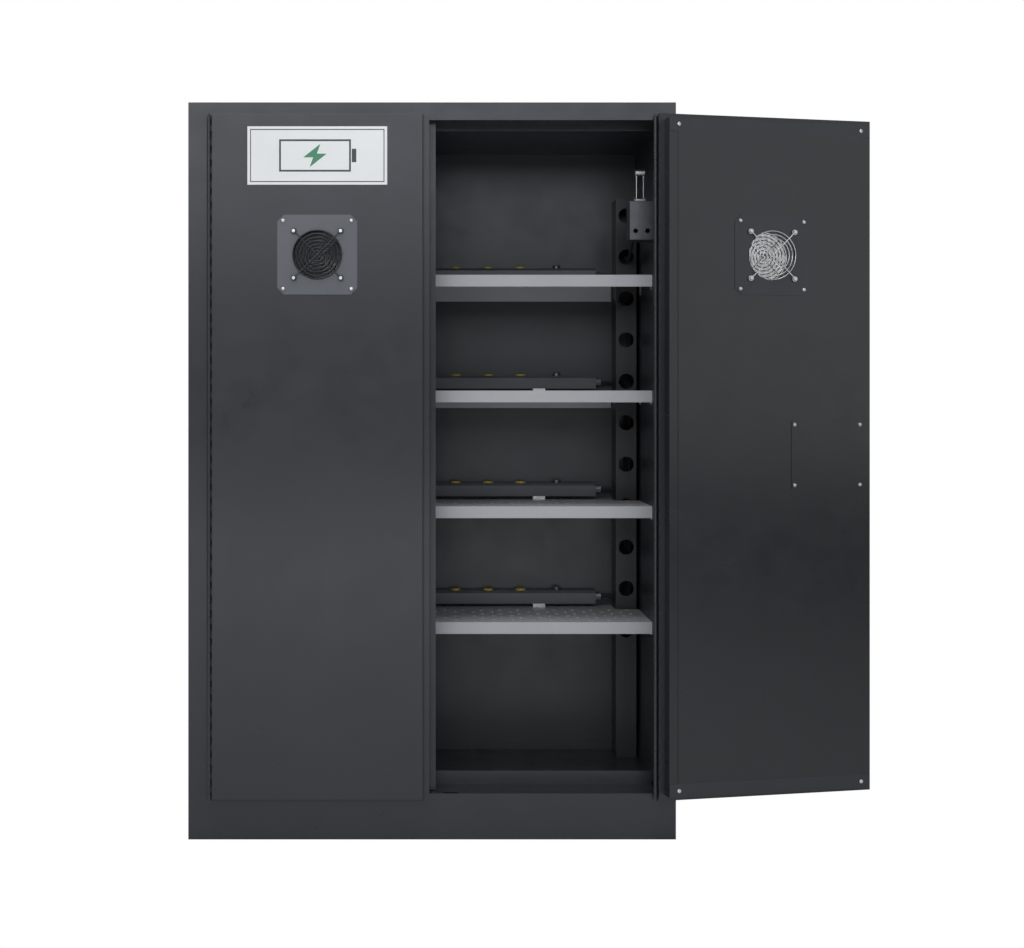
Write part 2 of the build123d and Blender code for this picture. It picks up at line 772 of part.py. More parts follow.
    with BuildPart() as vent_plates:
        with BuildSketch(upright(hung, pan_front), upright(hung, panel_rear + sheet)):
            with Locations((pan_x, vent_height)):
                plate = Rectangle(vent_plate, vent_plate)
            chamfer(plate.vertices(), length=vent_corner)
            with Locations((pan_x, vent_height)):
                RegularPolygon(vent_diameter / 2, vent_side_count, mode=Mode.SUBTRACT)
        extrude(amount=sheet)
    vent_plates.part.label = f"{side}_vent_plates"
    export_step(vent_plates.part, f"parts/{side}_vent_plates.step")

    guard_front = pan_front - sheet - guard_stand
    guard_rear = panel_rear + sheet + guard_stand + guard_wire
    with BuildPart() as vent_guards:
        with BuildSketch(upright(hung, guard_front), upright(hung, guard_rear)):
            with Locations((pan_x, vent_height)):
                for ring in range(guard_rings, 0, -1):
                    RegularPolygon(ring * guard_ring_step + guard_wire / 2, round_side_count)
                    RegularPolygon(
                        ring * guard_ring_step - guard_wire / 2, round_side_count, mode=Mode.SUBTRACT
                    )
            with Locations((pan_x, vent_height)):
                Rectangle(guard_bolts * 2**0.5, guard_wire, rotation=45)
                Rectangle(guard_bolts * 2**0.5, guard_wire, rotation=-45)
        extrude(amount=guard_wire)
        with BuildSketch(upright(hung, pan_front - sheet), upright(hung, guard_rear)):
            with Locations(*eyelets):
                RegularPolygon(eyelet_radius, nut_side_count)
        extrude(amount=guard_stand + guard_wire)
    vent_guards.part.label = f"{side}_vent_guards"
    export_step(vent_guards.part, f"parts/{side}_vent_guards.step")

    with BuildPart() as fasteners:
        with BuildSketch(upright(hung, pan_front - sheet), upright(hung, panel_rear + sheet + bolt_height)):
            with Locations(*corners):
                RegularPolygon(bolt_across / 2, nut_side_count)
        extrude(amount=bolt_height)
        with BuildSketch(upright(hung, guard_front - guard_wire), upright(hung, guard_rear + bolt_height)):
            with Locations(*eyelets):
                RegularPolygon(bolt_across / 2, nut_side_count)
        extrude(amount=bolt_height)
        with BuildSketch(upright(hung, panel_rear + bolt_height / 2)):
            with Locations(
                *[
                    (box_x + i * (box_width / 2 - band_screw_inset), z)
                    for i in (-1, 1)
                    for z in (box_bottom + band_height / 2, box_top - band_height / 2)
                ]
            ):
                RegularPolygon(screw_across / 2, nut_side_count)
        extrude(amount=bolt_height / 2)
    fasteners.part.label = f"{side}_door_fasteners"
    export_step(fasteners.part, f"parts/{side}_door_fasteners.step")

    # Piano hinge: alternate knuckles belong to the frame leaf, which carries the pin
    pin_at = (hand * pin_x, pin_y)
    knuckle_length = door_height / (2 * knuckle_period_count + 1)
    with BuildPart() as frame_leaf:
        with BuildSketch(level(Plane.XY, door_bottom)):
            with Locations((hand * (pin_x + leaf_offset), (pin_y + front) / 2)):
                Rectangle(sheet, front - pin_y)
        extrude(amount=door_height)
        with BuildSketch(level(Plane.XY, sill_height)):
            leaf_middle = (pin_x + leaf_offset + opening_half - sheet / 2) / 2
            with Locations((hand * leaf_middle, front + sheet / 2)):
                Rectangle(opening_half - pin_x - leaf_offset + sheet / 2, sheet)
            with Locations((hand * (opening_half - sheet / 2), front + leaf_width / 2)):
                Rectangle(sheet, leaf_width)
        extrude(amount=opening_top - sill_height)
        for knuckle in range(knuckle_period_count + 1):
            with BuildSketch(level(Plane.XY, door_bottom + 2 * knuckle * knuckle_length)):
                with Locations(pin_at):
                    RegularPolygon(knuckle_radius, knuckle_side_count, major_radius=False)
            extrude(amount=knuckle_length - knuckle_gap)
        for knuckle in range(knuckle_period_count):
            with BuildSketch(level(Plane.XY, door_bottom + (2 * knuckle + 1) * knuckle_length)):
                with Locations(pin_at):
                    Rectangle(4 * knuckle_radius, 2 * knuckle_relief)
            extrude(amount=knuckle_length, mode=Mode.SUBTRACT)
        with BuildSketch(level(Plane.XY, door_bottom)):
            with Locations(pin_at):
                Circle(pin_diameter / 2)
        extrude(amount=door_height)
    frame_leaf.part.label = f"hinge_frame_leaf_{side}"
    export_step(frame_leaf.part, f"parts/hinge_frame_leaf_{side}.step")

    with BuildPart() as door_leaf:
        with BuildSketch(level(hung, door_bottom)):
            with Locations((pan_hinge + hand * sheet / 2, (pin_y + pan_rear) / 2)):
                Rectangle(sheet, pan_rear - pin_y)
        extrude(amount=door_height)
        for knuckle in range(knuckle_period_count + 1):
            with BuildSketch(level(hung, door_bottom + 2 * knuckle * knuckle_length - knuckle_gap)):
                with Locations(pin_at):
                    Rectangle(4 * knuckle_radius, 2 * knuckle_relief)
            extrude(amount=knuckle_length + knuckle_gap, mode=Mode.SUBTRACT)
        for knuckle in range(knuckle_period_count):
            with BuildSketch(level(hung, door_bottom + (2 * knuckle + 1) * knuckle_length)):
                with Locations(pin_at):
                    RegularPolygon(knuckle_radius, knuckle_side_count, major_radius=False)
            extrude(amount=knuckle_length - knuckle_gap)
        with BuildSketch(level(hung, door_bottom)):
            with Locations(pin_at):
                RegularPolygon(pin_diameter / 2 + pin_clearance, knuckle_side_count, major_radius=False)
        extrude(amount=door_height, mode=Mode.SUBTRACT)
    door_leaf.part.label = f"hinge_door_leaf_{side}"
    export_step(door_leaf.part, f"parts/hinge_door_leaf_{side}.step")

# Astragal: a ledge behind the left pan's free edge, a web, and a flange behind the right door
with BuildPart() as astragal:
    with BuildSketch(upright(left_hung, left_pan_rear + sheet)):
        with Locations(((meeting_left - pan_rim + left_box_free + sheet) / 2, door_middle)):
            Rectangle(left_box_free + sheet - meeting_left + pan_rim, door_height)
    extrude(amount=sheet)
    with BuildSketch(level(left_hung, box_bottom)):
        with BuildLine():
            Polyline(
                (left_box_free, left_pan_rear + sheet),
                (left_box_free, panel_rear + sheet),
                (left_box_free + astragal_flange, panel_rear + sheet),
            )
            offset(amount=sheet, side=Side.RIGHT, kind=Kind.INTERSECTION)
        make_face()
    extrude(amount=box_height)
    with BuildSketch(upright(left_hung, bolt_y + yoke_thick + strike_slack)):
        with Locations((left_box_free, latch_height + bolt_rise)):
            Rectangle(4 * sheet, bolt_bar + 2 * strike_slack)
    extrude(amount=yoke_thick + 2 * strike_slack, mode=Mode.SUBTRACT)
astragal.part.label = "left_door_astragal"
export_step(astragal.part, "parts/left_door_astragal.step")

# Three-point latch: a dished handle turns a cam whose three pins drive two rods and a bolt
dish_centre = right_hung.origin + right_hung.x_dir * latch_x + right_hung.y_dir * dish_floor
latch_axis = Axis(dish_centre + Vector(0, 0, latch_height), right_hung.y_dir)
with BuildPart() as handle_dish:
    with BuildSketch(level(right_hung, latch_height)):
        with BuildLine():
            Polyline(
                (latch_x + shaft_radius + running_gap, dish_floor),
                (latch_x + dish_floor_radius, dish_floor),
                (latch_x + dish_radius - sheet, dish_front),
                (latch_x + dish_radius + dish_rim, dish_front),
            )
            offset(amount=sheet, side=Side.LEFT, kind=Kind.INTERSECTION)
        make_face()
    revolve(axis=latch_axis)
handle_dish.part.label = "handle_dish"
export_step(handle_dish.part, "parts/handle_dish.step")

with BuildPart() as latch_handle:
    with BuildSketch(upright(right_hung, handle_seat)):
        with Locations((latch_x, latch_height)):
            SlotOverall(grip_length, grip_width, rotation=90)
            RegularPolygon(boss_radius, boss_side_count)
    extrude(amount=grip_height)
    grip_front = latch_handle.faces().sort_by(Axis(right_hung.origin, right_hung.y_dir))[0]
    chamfer(grip_front.edges(), length=grip_round)
    with BuildSketch(upright(right_hung, handle_seat - grip_height)):
        with Locations((latch_x, latch_height)):
            Circle(lock_radius + running_gap)
    extrude(amount=-lock_depth, mode=Mode.SUBTRACT)
    with BuildSketch(upright(right_hung, cam_front)):
        with Locations((latch_x, latch_height)):
            Circle(shaft_radius)
    extrude(amount=cam_front - handle_seat)
    with BuildSketch(upright(right_hung, cam_front)):
        with Locations((latch_x, latch_height)):
            RegularPolygon(cam_radius, boss_side_count)
    extrude(amount=-cam_thick)
    with BuildSketch(upright(right_hung, cam_front + cam_thick)):
        with Locations(
            (latch_x + pin_start, latch_height - pin_start),
            (latch_x - pin_start, latch_height + pin_start),
        ):
            RegularPolygon(cam_pin_radius, round_side_count)
    extrude(amount=-2 * (yoke_gap + yoke_thick))
    with BuildSketch(upright(right_hung, cam_front + cam_thick)):
        with Locations((latch_x + pin_start, latch_height + pin_start)):
            RegularPolygon(cam_pin_radius, round_side_count)
    extrude(amount=-yoke_gap - yoke_thick)
latch_handle.part.label = "latch_handle"
export_step(latch_handle.part, "parts/latch_handle.step")

with BuildPart() as lock_cylinder:
    with BuildSketch(upright(right_hung, handle_seat - grip_height - lock_proud)):
        with Locations((latch_x, latch_height)):
            Circle(lock_radius)
            Rectangle(key_slot, key_slot_length, mode=Mode.SUBTRACT)
    extrude(amount=-lock_depth - lock_proud + running_gap)
    with BuildSketch(upright(right_hung, handle_seat - grip_height + lock_proud)):
        with Locations((latch_x, latch_height)):
            Circle(lock_radius)
    extrude(amount=running_gap + lock_proud - lock_depth)
lock_cylinder.part.label = "lock_cylinder"
export_step(lock_cylinder.part, "parts/lock_cylinder.step")

for end, name in ((1, "latch_rod_top"), (-1, "latch_rod_bottom")):
    rod_x = latch_x + end * rod_offset
    rod_start = latch_height + end * yoke_reach
    rod_tip = box_top + rod_proud if end > 0 else box_bottom - rod_proud
    yoke_tip = latch_height - end * (pin_start + yoke_end)
    with BuildPart() as latch_rod:
        with BuildSketch(upright(right_hung, yoke_y)):
            with Locations((rod_x, (yoke_tip + rod_start) / 2)):
                Rectangle(yoke_width, abs(rod_start - yoke_tip))
            with Locations((rod_x, latch_height - end * pin_start)):
                SlotOverall(
                    2 * (cam_pin_radius + yoke_clearance) + pin_circle - pin_start,
                    2 * (cam_pin_radius + yoke_clearance),
                    mode=Mode.SUBTRACT,
                )
        extrude(amount=-yoke_thick)
        with BuildSketch(level(right_hung, rod_start)):
            with Locations((rod_x, rod_y)):
                RegularPolygon(rod_diameter / 2, round_side_count)
        extrude(amount=rod_tip - rod_start)
        chamfer(latch_rod.edges().group_by(Axis.Z)[-1 if end > 0 else 0], length=sheet)
    latch_rod.part.label = name
    export_step(latch_rod.part, f"parts/{name}.step")

bolt_arm_top = bolt_rise + bolt_bar / 2
bolt_arm_foot = rod_offset - yoke_width / 2
with BuildPart() as latch_bolt:
    with BuildSketch(upright(right_hung, bolt_y)):
        with Locations((latch_x + pin_start, latch_height + (bolt_arm_top + bolt_arm_foot) / 2)):
            Rectangle(2 * yoke_end, bolt_arm_top - bolt_arm_foot)
        with Locations(((latch_x + pin_start + right_box_free - rod_proud) / 2, latch_height + bolt_rise)):
            Rectangle(latch_x + pin_start - right_box_free + rod_proud, bolt_bar)
        with Locations((latch_x + pin_start, latch_height + rod_offset)):
            SlotOverall(
                2 * (cam_pin_radius + yoke_clearance) + pin_circle - pin_start,
                2 * (cam_pin_radius + yoke_clearance),
                rotation=90,
                mode=Mode.SUBTRACT,
            )
    extrude(amount=-yoke_thick)
latch_bolt.part.label = "latch_bolt"
export_step(latch_bolt.part, "parts/latch_bolt.step")

with BuildPart() as latch_guides:
    guide_front = pan_front + sheet
    guide_rear = rod_y + guide_back
    for rod_x, guide_z in (
        (latch_x + rod_offset, latch_height + 2 * guide_inset),
        (latch_x + rod_offset, box_top - guide_inset),
        (latch_x - rod_offset, latch_height - 2 * guide_inset),
        (latch_x - rod_offset, box_bottom + guide_inset),
    ):
        with BuildSketch(level(right_hung, guide_z - guide_thick / 2)):
            with Locations((rod_x, (guide_front + guide_rear) / 2)):
                Rectangle(guide_width, guide_rear - guide_front)
            with Locations((rod_x, rod_y)):
                RegularPolygon(rod_diameter / 2 + guide_clearance, round_side_count, mode=Mode.SUBTRACT)
        extrude(amount=guide_thick)
    with BuildSketch(sideways(right_hung, right_box_free + sheet)):
        with Locations(((right_pan_rear + guide_rear) / 2, latch_height + bolt_rise)):
            Rectangle(guide_rear - right_pan_rear, 2 * bolt_bar)
        with Locations((bolt_y + yoke_thick / 2, latch_height + bolt_rise)):
            Rectangle(yoke_thick + 2 * guide_clearance, bolt_bar + 2 * guide_clearance, mode=Mode.SUBTRACT)
    extrude(amount=bolt_guide_thick)
latch_guides.part.label = "latch_guides"
export_step(latch_guides.part, "parts/latch_guides.step")

with BuildPart() as latch_cover:
    with BuildSketch(upright(right_hung, panel_rear + sheet)):
        with Locations((cover_x, latch_height)):
            Rectangle(cover_width, cover_height)
    extrude(amount=sheet)
    with BuildSketch(upright(right_hung, panel_rear + sheet + bolt_height / 2)):
        with Locations((cover_x, latch_height)):
            with GridLocations(
                cover_width - 2 * cover_screw_inset, cover_height - 2 * cover_screw_inset, 2, 2
            ):
                RegularPolygon(screw_across / 2, nut_side_count)
    extrude(amount=bolt_height / 2)
latch_cover.part.label = "latch_cover"
export_step(latch_cover.part, "parts/latch_cover.step")
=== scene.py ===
import json
import math

import bmesh
import bpy
from mathutils import Matrix, Vector


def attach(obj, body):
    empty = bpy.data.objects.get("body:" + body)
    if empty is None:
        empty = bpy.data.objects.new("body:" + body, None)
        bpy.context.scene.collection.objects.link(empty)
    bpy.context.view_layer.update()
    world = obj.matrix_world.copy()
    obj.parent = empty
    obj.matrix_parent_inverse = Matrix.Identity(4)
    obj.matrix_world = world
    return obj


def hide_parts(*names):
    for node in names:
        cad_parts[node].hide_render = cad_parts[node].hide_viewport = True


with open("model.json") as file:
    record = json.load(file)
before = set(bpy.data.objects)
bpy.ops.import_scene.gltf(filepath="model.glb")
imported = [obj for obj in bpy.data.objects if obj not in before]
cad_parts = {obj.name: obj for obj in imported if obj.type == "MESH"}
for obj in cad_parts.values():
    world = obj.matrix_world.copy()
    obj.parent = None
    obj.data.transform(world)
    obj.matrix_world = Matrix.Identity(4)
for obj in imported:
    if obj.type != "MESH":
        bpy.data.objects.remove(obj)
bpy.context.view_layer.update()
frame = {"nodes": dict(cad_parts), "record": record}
nodes = frame["nodes"]
scene = bpy.context.scene
print("frame loaded:", len(nodes), "nodes")

# Places shared by the pieces, in metres; turns in degrees
doors = {
    "left": {"body": "left_door", "turn": 0, "vent": -0.256, "box": (-0.48, -0.008), "rear": -0.2315},
    "right": {"body": "right_door", "turn": 192, "vent": 0.23775, "box": (0, 0.48), "rear": -0.2325},
}
opening = {"side": 0.504, "bottom": 0.103, "top": 1.611, "front": -0.2285}
hinge = {
    "x": 0.498,
    "y": -0.2425,
    "radius": 0.0044,
    "pin": 0.0017,
    "bottom": 0.0915,
    "top": 1.6225,
    "pitch": 0.0157,
    "gap": 0.0005,
    "leafGap": 0.0003,
    "frameLeaf": (0.00075, 0.00225),
    "doorLeaf": (0.0045, 0.006),
    "frameStrap": -0.2345,
    "doorStrap": -0.2365,
    "panSide": (0.492, 0.4935),
    "faceRear": -0.227,
    "flange": 0.5025,
    "flangeRear": -0.2045,
}
vent = {
    "z": 1.308,
    "bolts": 0.1048,
    "plateBolts": 0.152,
    "wire": 0.00125,
    "rings": 7,
    "ringStep": 0.0078,
    "firstRing": 0.0075,
    "crossOffset": 0.0022,
    "eyelet": 0.0052,
    "eyeletWire": 0.9,
    "standoff": 0.0042,
    "outerFace": -0.2515,
    "innerFace": -0.194,
    "outerPlate": -0.246,
    "innerPlate": -0.1995,
}
screenWires = {
    "radius": 0.056,
    "pitch": 0.0028,
    "wire": 0.00028,
    "weave": 0.0005,
    "front": -0.2438,
    "rear": -0.2034,
}
panHead = {"radius": 0.0045, "height": 0.0032, "low": 0.0017}
hexagon = {"radius": 0.0044, "height": 0.0031, "edge": 0.0004, "crown": 0.0003, "crownShare": 0.55}
channelScrews = {"spread": 0.218, "levels": (0.12, 1.594)}
cover = {"x": 0.104, "z": 0.861, "dx": 0.0795, "dz": 0.068, "y": -0.1996, "radius": 0.0047, "height": 0.0021}
shelf = {
    "half": 0.507,
    "front": -0.1285,
    "back": 0.1905,
    "sheet": 0.0015,
    "lip": 0.027,
    "roll": 0.002,
    "rearLip": 0.04,
    "rim": 0.02,
    "hole": 0.0052,
    "holeSides": 16,
    "columns": 22,
    "rows": 6,
    "shift": 0.22,
    "notch": (0.448, 0.1025),
    "tops": [1.273 - 0.2667 * i for i in range(4)],
}
strip = {
    "y": 0.1665,
    "lift": 0.008,
    "height": 0.032,
    "pitch": 0.081,
    "first": 0.22,
    "count": 8,
    "button": 0.31,
}
label = {
    "width": 0.3115,
    "height": 0.13,
    "x": -0.256,
    "z": 1.529,
    "front": -0.2445,
    "thick": 0.0006,
    "ink": 0.0002,
    "margin": 0.006,
    "border": 0.002,
    "cell": ((-0.085, -0.036), (0.075, 0.036)),
    "cellLine": 0.004,
    "cellCap": ((0.077, -0.015), (0.087, 0.015)),
    "boltX": -0.005,
    "bolt": [
        (0.012, 0.026), (-0.026, -0.004), (-0.004, -0.004),
        (-0.012, -0.026), (0.026, 0.004), (0.004, 0.004),
    ],
}


# Frames of the doors: the right door is laid out shut and hangs open
def doorMatrix(side):
    if side == "left":
        return Matrix.Identity(4)
    pin = Vector((hinge["x"], hinge["y"], 0))
    turned = Matrix.Rotation(math.radians(doors[side]["turn"]), 4, "Z")
    return Matrix.Translation(pin) @ turned @ Matrix.Translation(-pin)


def box(bm, low, high):
    size = [b - a for a, b in zip(low, high)]
    middle = [(a + b) / 2 for a, b in zip(low, high)]
    bmesh.ops.create_cube(bm, size=1, matrix=Matrix.Translation(middle) @ Matrix.Diagonal((*size, 1)))


def rod(bm, start, end, radius, sides=12):
    start, end = Vector(start), Vector(end)
    along = end - start
    place = Matrix.Translation((start + end) / 2) @ along.to_track_quat("Z", "Y").to_matrix().to_4x4()
    return bmesh.ops.create_cone(
        bm, cap_ends=True, segments=sides, radius1=radius, radius2=radius, depth=along.length, matrix=place
    )["verts"]


def tube(bm, points, radius, sides=10, closed=False):
    points = [Vector(p) for p in points]
    count = len(points)
    rings = []
    normal = None
    for i, point in enumerate(points):
        after = points[(i + 1) % count] if closed or i + 1 < count else point
        before = points[i - 1] if closed or i else point
        along = (after - before).normalized()
        if normal is None:
            normal = along.orthogonal().normalized()
        normal = (normal - along * normal.dot(along)).normalized()
        across = along.cross(normal)
        angles = [2 * math.pi * k / sides for k in range(sides)]
        spokes = [math.cos(a) * normal + math.sin(a) * across for a in angles]
        rings.append([bm.verts.new(point + radius * spoke) for spoke in spokes])
    pairs = list(zip(rings, rings[1:])) + ([(rings[-1], rings[0])] if closed else [])
    for first, second in pairs:
        for k in range(sides):
            bm.faces.new((first[k], first[(k + 1) % sides], second[(k + 1) % sides], second[k]))
    if not closed:
        bm.faces.new(list(reversed(rings[0])))
        bm.faces.new(rings[-1])


def lathe(bm, profile, place, steps=24):
    verts = [bm.verts.new(place @ Vector((r, 0, z))) for r, z in profile]
    edges = [bm.edges.new(pair) for pair in zip(verts, verts[1:])]
    axis = (place.to_3x3() @ Vector((0, 0, 1))).normalized()
    bmesh.ops.spin(
        bm, geom=verts + edges, cent=place.translation, axis=axis,
        angle=2 * math.pi, steps=steps, use_merge=True,
    )


def finishPiece(bm, name, body, slot, replaced=(), smooth=True, matrix=None, angle=35):
    bmesh.ops.remove_doubles(bm, verts=bm.verts, dist=0.00001)
    bmesh.ops.recalc_face_normals(bm, faces=bm.faces)
    mesh = bpy.data.meshes.new(name)
    bm.to_mesh(mesh)
    bm.free()
    if matrix is not None:
        mesh.transform(matrix)
    for face in mesh.polygons:
        face.use_smooth = smooth
    if smooth:
        mesh.set_sharp_from_angle(angle=math.radians(angle))
    piece = bpy.data.objects.new(name, mesh)
    scene.collection.objects.link(piece)
    mesh.materials.append(materials[slot])
    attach(piece, body)
    if replaced:
        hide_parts(*replaced)
    return piece


# Shader graphs: sockets that take part in sums, and one method that adds a node
class Socket:
    def __init__(self, graph, socket):
        self.graph = graph
        self.socket = socket

    def maths(self, operation, *others):
        return self.graph.node("ShaderNodeMath", {"operation": operation}, self, *others)

    def __add__(self, other):
        return self.maths("ADD", other)

    def __mul__(self, other):
        return self.maths("MULTIPLY", other)

    __radd__ = __add__
    __rmul__ = __mul__


class Graph:
    def __init__(self, material):
        self.tree = material.node_tree
        self.tree.nodes.clear()

    def node(self, kind, settings=None, *sockets, output=0, **named):
        made = self.tree.nodes.new(kind)
        for key, value in (settings or {}).items():
            setattr(made, key, value)
        given = list(enumerate(sockets)) + [(k.replace("_", " "), v) for k, v in named.items()]
        for key, value in given:
            if value is None:
                continue
            if isinstance(value, Socket):
                self.tree.links.new(value.socket, made.inputs[key])
            else:
                made.inputs[key].default_value = value
        return Socket(self, made.outputs[output]) if len(made.outputs) else None

    def ramp(self, factor, low, high, start=0.0, end=1.0):
        spans = {"From_Min": start, "From_Max": end, "To_Min": low, "To_Max": high}
        return self.node("ShaderNodeMapRange", {"clamp": True}, Value=factor, **spans)

    def mixColour(self, factor, first, second):
        return self.node("ShaderNodeMix", {"data_type": "RGBA"}, factor, *[None] * 5, first, second, output=2)


def newMaterial(name):
    material = bpy.data.materials.new(name)
    material.use_nodes = True
    return material, Graph(material)


def closeMaterial(graph, **inputs):
    shader = graph.node("ShaderNodeBsdfPrincipled", {}, **inputs)
    graph.node("ShaderNodeOutputMaterial", {}, Surface=shader)


def paint(name, look):
    material, graph = newMaterial(name)
    place = graph.node("ShaderNodeTexCoord", {}, output=3)
    broad = graph.node("ShaderNodeTexNoise", {}, Vector=place, Scale=3.0, Detail=4.0, Roughness=0.6)
    smudge = graph.node("ShaderNodeTexNoise", {}, Vector=place, Scale=14.0, Detail=6.0, Roughness=0.7)
    peel = graph.node("ShaderNodeTexNoise", {}, Vector=place, Scale=look.get("peelScale", 650.0), Detail=2.0)
    vary = look.get("vary", 0.12)
    dark = tuple(c * (1 - vary) for c in look["colour"]) + (1,)
    light = tuple(c * (1 + vary) for c in look["colour"]) + (1,)
    tone = graph.mixColour(graph.ramp(broad, 0, 1, 0.35, 0.65), dark, light)
    height = graph.node("ShaderNodeSeparateXYZ", {}, place, output=2)
    speckle = graph.node("ShaderNodeTexNoise", {}, Vector=place, Scale=90.0, Detail=5.0, Roughness=0.75)
    dust = graph.ramp(height, look.get("dust", 0.12), 0.02, 0.0, 0.5)
    dust = dust * graph.ramp(speckle, 0.2, 1.0, 0.4, 0.7)
    tone = graph.mixColour(dust, tone, (0.09, 0.086, 0.08, 1))
    rough = graph.ramp(smudge, look["rough"] - 0.05, look["rough"] + 0.05, 0.3, 0.7)
    bump = graph.node("ShaderNodeBump", {}, Strength=look.get("peel", 0.12), Distance=0.0004, Height=peel)
    coat = look.get("coat", 0.0)
    closeMaterial(graph, Base_Color=tone, Roughness=rough, Normal=bump, Coat_Weight=coat, Coat_Roughness=0.2)
    return material


def metal(name, look):
    material, graph = newMaterial(name)
    base = look["colour"]
    place = graph.node("ShaderNodeTexCoord", {}, output=3)
    drawn = graph.node("ShaderNodeMapping", {}, Vector=place, Scale=look.get("stretch", (1, 1, 12)))
    grain = graph.node("ShaderNodeTexNoise", {}, Vector=drawn, Scale=look.get("grain", 300.0), Detail=3.0)
    cells = graph.node("ShaderNodeTexVoronoi", {}, Vector=place, Scale=look.get("spangle", 90.0), output=1)
    patch = graph.node("ShaderNodeSeparateColor", {}, cells) * look.get("spangled", 0.1)
    stain = graph.node("ShaderNodeTexNoise", {}, Vector=place, Scale=9.0, Detail=5.0)
    dark = tuple(c * 0.85 for c in base) + (1,)
    light = tuple(c * 1.08 for c in base) + (1,)
    bright = tuple(min(1, c * 1.5) for c in base) + (1,)
    tone = graph.mixColour(graph.ramp(stain, 0, 1, 0.35, 0.7), dark, light)
    tone = graph.mixColour(patch, tone, bright)
    rough = graph.ramp(grain, look["rough"] - 0.08, look["rough"] + 0.08, 0.3, 0.7) + patch
    bump = graph.node("ShaderNodeBump", {}, Strength=0.08, Distance=0.0002, Height=grain)
    closeMaterial(graph, Base_Color=tone, Roughness=rough, Metallic=look.get("metal", 1.0), Normal=bump)
    return material


looks = {
    "cabinet_paint": {
        "maker": paint, "colour": (0.017, 0.018, 0.022),
        "rough": 0.32, "peel": 0.1, "coat": 0.12, "dust": 0.05,
    },
    "inner_paint": {
        "maker": paint, "colour": (0.016, 0.0165, 0.019),
        "rough": 0.38, "peel": 0.1, "coat": 0.1, "dust": 0.05,
    },
    "shelf_paint": {"maker": paint, "colour": (0.4, 0.4, 0.41), "rough": 0.4, "peel": 0.12, "vary": 0.05},
    "hinge_paint": {"maker": paint, "colour": (0.02, 0.021, 0.024), "rough": 0.34, "peel": 0.1},
    "strip_paint": {"maker": paint, "colour": (0.085, 0.09, 0.1), "rough": 0.36, "vary": 0.06},
    "outlet_plastic": {
        "maker": paint, "colour": (0.5, 0.36, 0.04),
        "rough": 0.4, "peel": 0.04, "vary": 0.05,
    },
    "button_plastic": {
        "maker": paint, "colour": (0.06, 0.062, 0.066),
        "rough": 0.25, "peel": 0.02, "coat": 0.4,
    },
    "cable_rubber": {
        "maker": paint, "colour": (0.018, 0.018, 0.02),
        "rough": 0.6, "peel": 0.2, "peelScale": 900.0,
    },
    "zinc": {"maker": metal, "colour": (0.66, 0.66, 0.64), "rough": 0.3, "grain": 500.0},
    "galvanised": {
        "maker": metal, "colour": (0.5, 0.52, 0.54),
        "rough": 0.42, "spangled": 0.2, "spangle": 70.0,
    },
    "handle_finish": {"maker": metal, "colour": (0.62, 0.62, 0.62), "rough": 0.22, "stretch": (1, 12, 1)},
}
extraLooks = {
    "label_white": {
        "maker": paint, "colour": (0.8, 0.8, 0.78),
        "rough": 0.35, "peel": 0.02, "vary": 0.03, "dust": 0.0,
    },
    "label_ink": {"maker": paint, "colour": (0.045, 0.05, 0.055), "rough": 0.4, "peel": 0.02, "dust": 0.0},
    "label_green": {"maker": paint, "colour": (0.05, 0.24, 0.12), "rough": 0.4, "peel": 0.02, "dust": 0.0},
    "plate_grey": {
        "maker": paint, "colour": (0.1, 0.105, 0.115),
        "rough": 0.35, "peel": 0.06, "vary": 0.05,
    },
    "switch_dark": {
        "maker": metal, "colour": (0.1, 0.1, 0.105),
        "rough": 0.35, "metal": 0.8, "spangled": 0.05,
    },
    # Darker, glossier copy of the cabinet paint for the inner sides of the doors: painted shade
    "panel_dark": {
        "maker": paint, "colour": (0.009, 0.0095, 0.011),
        "rough": 0.24, "peel": 0.08, "coat": 0.2, "dust": 0.04,
    },
    # Near-black for the outlet slots: painted shade in place of the holes
    "socket_dark": {"maker": paint, "colour": (0.01, 0.01, 0.011), "rough": 0.55, "peel": 0.05},
}
materials = {name: look["maker"](name, look) for name, look in {**looks, **extraLooks}.items()}
# Slot swaps for some parts; the door inner panels, door boxes and latch cover get the darker panel copy of
# the cabinet paint, which is painted shade
recoloursWithPaintedShade = {"left_vent_plates": "plate_grey", "interlock_box": "switch_dark", "interlock_cover": "switch_dark"}
for side in doors:
    recoloursWithPaintedShade[side + "_door_inner_panel"] = "panel_dark"
    recoloursWithPaintedShade[side + "_door_box"] = "panel_dark"
recoloursWithPaintedShade["latch_cover"] = "panel_dark"
for part in frame["record"]["subparts"]:
    node = nodes[part["node"]]
    node.data.materials.clear()
    node.data.materials.append(materials[recoloursWithPaintedShade.get(part["node"], part["material_slot"])])
print("materials:", len(materials))


# Vent guards: concentric wire rings on two crossed wires, with bolted eyelets, and woven screens behind
def ringPoints(x, y, z, radius, steps=48):
    turns = [2 * math.pi * i / steps for i in range(steps)]
    return [(x + radius * math.cos(a), y, z + radius * math.sin(a)) for a in turns]


def guard(side, x, y, outward, name, slot):
    bm = bmesh.new()
    z, wire, reach = vent["z"], vent["wire"], vent["bolts"] / 2
    for number in range(vent["rings"]):
        radius = vent["firstRing"] + number * vent["ringStep"]
        tube(bm, ringPoints(x, y, z, radius), wire, 8, closed=True)
    seat = y + outward * vent["crossOffset"]
    for sign in (-1, 1):
        tube(bm, [(x - reach, seat, z - sign * reach), (x + reach, seat, z + sign * reach)], wire, 8)
    for i, k in signs:
        ex, ez = x + i * reach, z + k * reach
        tube(bm, ringPoints(ex, y, ez, vent["eyelet"], 24), wire * vent["eyeletWire"], 8, closed=True)
        rod(bm, (ex, y, ez), (ex, y - outward * vent["standoff"], ez), vent["standoff"], 16)
    return finishPiece(bm, name, doors[side]["body"], slot, matrix=doorMatrix(side))


